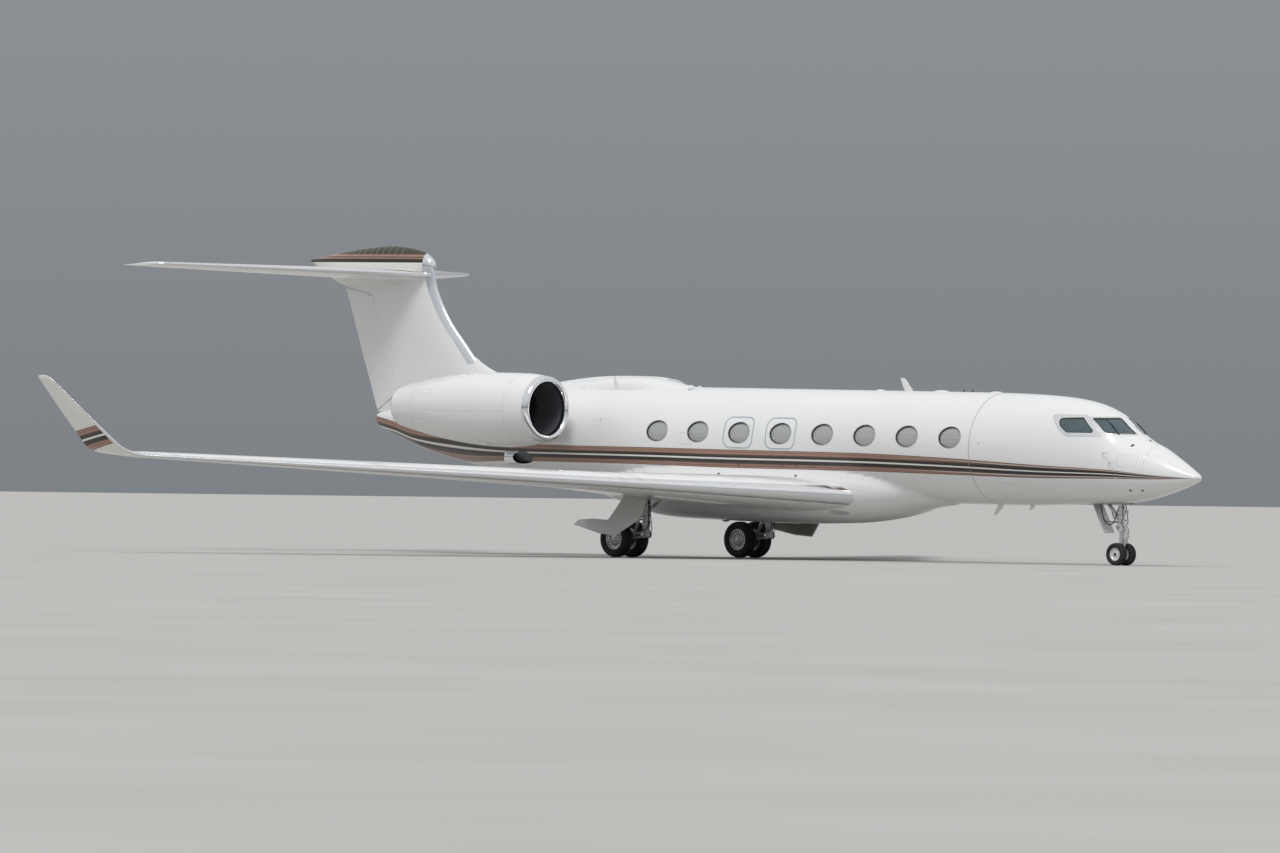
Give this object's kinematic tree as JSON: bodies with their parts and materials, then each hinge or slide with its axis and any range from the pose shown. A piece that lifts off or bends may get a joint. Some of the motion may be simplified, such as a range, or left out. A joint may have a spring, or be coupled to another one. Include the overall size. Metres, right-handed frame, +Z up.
{
  "type": "business jet",
  "caption": "Business jet parked on its landing gear, with swept wings and winglets, rear fan engines, a high tail, hinged flight controls and an entry door with stairs inside.",
  "frame": {"origin": "on the ground, under the middle of the length and the span", "axes": "+X to the nose, +Y to port, +Z up"},
  "size_m": [30.3911, 30.3734, 7.7198],
  "materials": {
    "white_paint": "gloss",
    "polished_metal": "polished",
    "engine_metal": "satin",
    "dark_stripe": "gloss",
    "cockpit_glass": "polished",
    "gear_metal": "satin",
    "gear_white": "gloss",
    "wheel_alloy": "satin",
    "wheel_white": "gloss",
    "tyre": "matte",
    "deck_trim": "matte"
  },
  "bodies": {
    "airframe": {"radome": "white_paint", "fuselage": "white_paint", "left_windshield": "cockpit_glass", "right_windshield": "cockpit_glass", "left_side_window": "cockpit_glass", "right_side_window": "cockpit_glass", "flight_deck": "deck_trim", "left_wing": "white_paint", "right_wing": "white_paint", "left_winglet": "white_paint", "right_winglet": "white_paint", "belly_fairing": "white_paint", "crown_fairing": "white_paint", "tailplane": "white_paint", "fin_cap": "dark_stripe", "fin": "white_paint", "left_intake_lip": "polished_metal", "right_intake_lip": "polished_metal", "left_cowl": "white_paint", "right_cowl": "white_paint", "left_engine_core": "engine_metal", "right_engine_core": "engine_metal", "left_pylon": "white_paint", "right_pylon": "white_paint", "left_main_leg": "gear_metal", "right_main_leg": "gear_metal", "left_main_gear_door": "white_paint", "right_main_gear_door": "white_paint", "nose_strut": "gear_white", "nose_gear_door": "white_paint"},
    "nose_steer": {"nose_steering": "gear_white"},
    "nose_wheels": {"nose_hubs": "wheel_white", "nose_tyre_a": "tyre", "nose_tyre_b": "tyre"},
    "entry_door": {"entry_door": "white_paint"},
    "rudder": {"rudder": "white_paint"},
    "left_main_wheels": {"left_main_hubs": "wheel_alloy", "left_main_tyre_a": "tyre", "left_main_tyre_b": "tyre"},
    "left_fan": {"left_fan": "engine_metal"},
    "left_inboard_flap": {"left_inboard_flap": "white_paint"},
    "left_outboard_flap": {"left_outboard_flap": "white_paint"},
    "left_aileron": {"left_aileron": "white_paint"},
    "left_spoiler": {"left_spoiler": "white_paint"},
    "left_elevator": {"left_elevator": "white_paint"},
    "right_main_wheels": {"right_main_hubs": "wheel_alloy", "right_main_tyre_a": "tyre", "right_main_tyre_b": "tyre"},
    "right_fan": {"right_fan": "engine_metal"},
    "right_inboard_flap": {"right_inboard_flap": "white_paint"},
    "right_outboard_flap": {"right_outboard_flap": "white_paint"},
    "right_aileron": {"right_aileron": "white_paint"},
    "right_spoiler": {"right_spoiler": "white_paint"},
    "right_elevator": {"right_elevator": "white_paint"}
  },
  "joints": [
    {"name": "nose_steering", "type": "hinge", "parent": "airframe", "child": "nose_steer", "pos_m": [12.8, 0, 0.985], "axis": [0, 0, 1], "range_deg": [-80, 80]},
    {"name": "nose_wheels_spin", "type": "hinge", "parent": "nose_steer", "child": "nose_wheels", "pos_m": [12.8, 0, 0.265], "axis": [0, 1, 0], "continuous": true},
    {"name": "left_main_wheels_spin", "type": "hinge", "parent": "airframe", "child": "left_main_wheels", "pos_m": [-1.052, 2.232, 0.445], "axis": [0, 1, 0], "continuous": true},
    {"name": "right_main_wheels_spin", "type": "hinge", "parent": "airframe", "child": "right_main_wheels", "pos_m": [-1.052, -2.232, 0.445], "axis": [0, 1, 0], "continuous": true},
    {"name": "left_fan_spin", "type": "hinge", "parent": "airframe", "child": "left_fan", "pos_m": [-4.53629, 2.3, 3.60569], "axis": [0.9999, 0, -0.0122], "continuous": true},
    {"name": "right_fan_spin", "type": "hinge", "parent": "airframe", "child": "right_fan", "pos_m": [-4.53629, -2.3, 3.60569], "axis": [0.9999, 0, -0.0122], "continuous": true},
    {"name": "entry_door_hinge", "type": "hinge", "parent": "airframe", "child": "entry_door", "pos_m": [10.30354, 1.0199, 1.86426], "axis": [-0.9999, 0, 0.0122], "range_deg": [0, 138]},
    {"name": "left_inboard_flap_hinge", "type": "hinge", "parent": "airframe", "child": "left_inboard_flap", "pos_m": [-1.06058, 3.34, 1.58167], "axis": [0.1281, -0.9878, -0.0882], "range_deg": [0, 39]},
    {"name": "right_inboard_flap_hinge", "type": "hinge", "parent": "airframe", "child": "right_inboard_flap", "pos_m": [-1.06058, -3.34, 1.58167], "axis": [-0.1281, -0.9878, 0.0882], "range_deg": [0, 39]},
    {"name": "left_outboard_flap_hinge", "type": "hinge", "parent": "airframe", "child": "left_outboard_flap", "pos_m": [-2.62939, 7.56, 1.91582], "axis": [0.5278, -0.8471, -0.0628], "range_deg": [0, 39]},
    {"name": "right_outboard_flap_hinge", "type": "hinge", "parent": "airframe", "child": "right_outboard_flap", "pos_m": [-2.62939, -7.56, 1.91582], "axis": [-0.5278, -0.8471, 0.0628], "range_deg": [0, 39]},
    {"name": "left_aileron_hinge", "type": "hinge", "parent": "airframe", "child": "left_aileron", "pos_m": [-5.15578, 11.615, 2.23177], "axis": [0.5284, -0.8477, -0.0471], "range_deg": [-22, 22]},
    {"name": "right_aileron_hinge", "type": "hinge", "parent": "airframe", "child": "right_aileron", "pos_m": [-5.15578, -11.615, 2.23177], "axis": [-0.5284, -0.8477, 0.0471], "range_deg": [-22, 22]},
    {"name": "left_spoiler_hinge", "type": "hinge", "parent": "airframe", "child": "left_spoiler", "pos_m": [-2.03571, 7.475, 2.11735], "axis": [-0.558, 0.8289, 0.0396], "range_deg": [0, 55]},
    {"name": "right_spoiler_hinge", "type": "hinge", "parent": "airframe", "child": "right_spoiler", "pos_m": [-2.03571, -7.475, 2.11735], "axis": [0.558, 0.8289, -0.0396], "range_deg": [0, 55]},
    {"name": "left_elevator_hinge", "type": "hinge", "parent": "airframe", "child": "left_elevator", "pos_m": [-13.46183, 2.855, 7.05711], "axis": [0.4408, -0.8972, -0.0257], "range_deg": [-24, 13]},
    {"name": "right_elevator_hinge", "type": "hinge", "parent": "airframe", "child": "right_elevator", "pos_m": [-13.46183, -2.855, 7.05711], "axis": [-0.4408, -0.8972, 0.0257], "range_deg": [-24, 13]},
    {"name": "rudder_hinge", "type": "hinge", "parent": "airframe", "child": "rudder", "pos_m": [-11.32117, 0, 5.29371], "axis": [-0.4223, 0, 0.9065], "range_deg": [-22, 22]}
  ],
  "couplings": [
    {"joint": "right_inboard_flap_hinge", "follows": "left_inboard_flap_hinge", "ratio": 1},
    {"joint": "left_outboard_flap_hinge", "follows": "left_inboard_flap_hinge", "ratio": 1},
    {"joint": "right_outboard_flap_hinge", "follows": "left_inboard_flap_hinge", "ratio": 1},
    {"joint": "right_aileron_hinge", "follows": "left_aileron_hinge", "ratio": -1},
    {"joint": "right_elevator_hinge", "follows": "left_elevator_hinge", "ratio": 1}
  ]
}
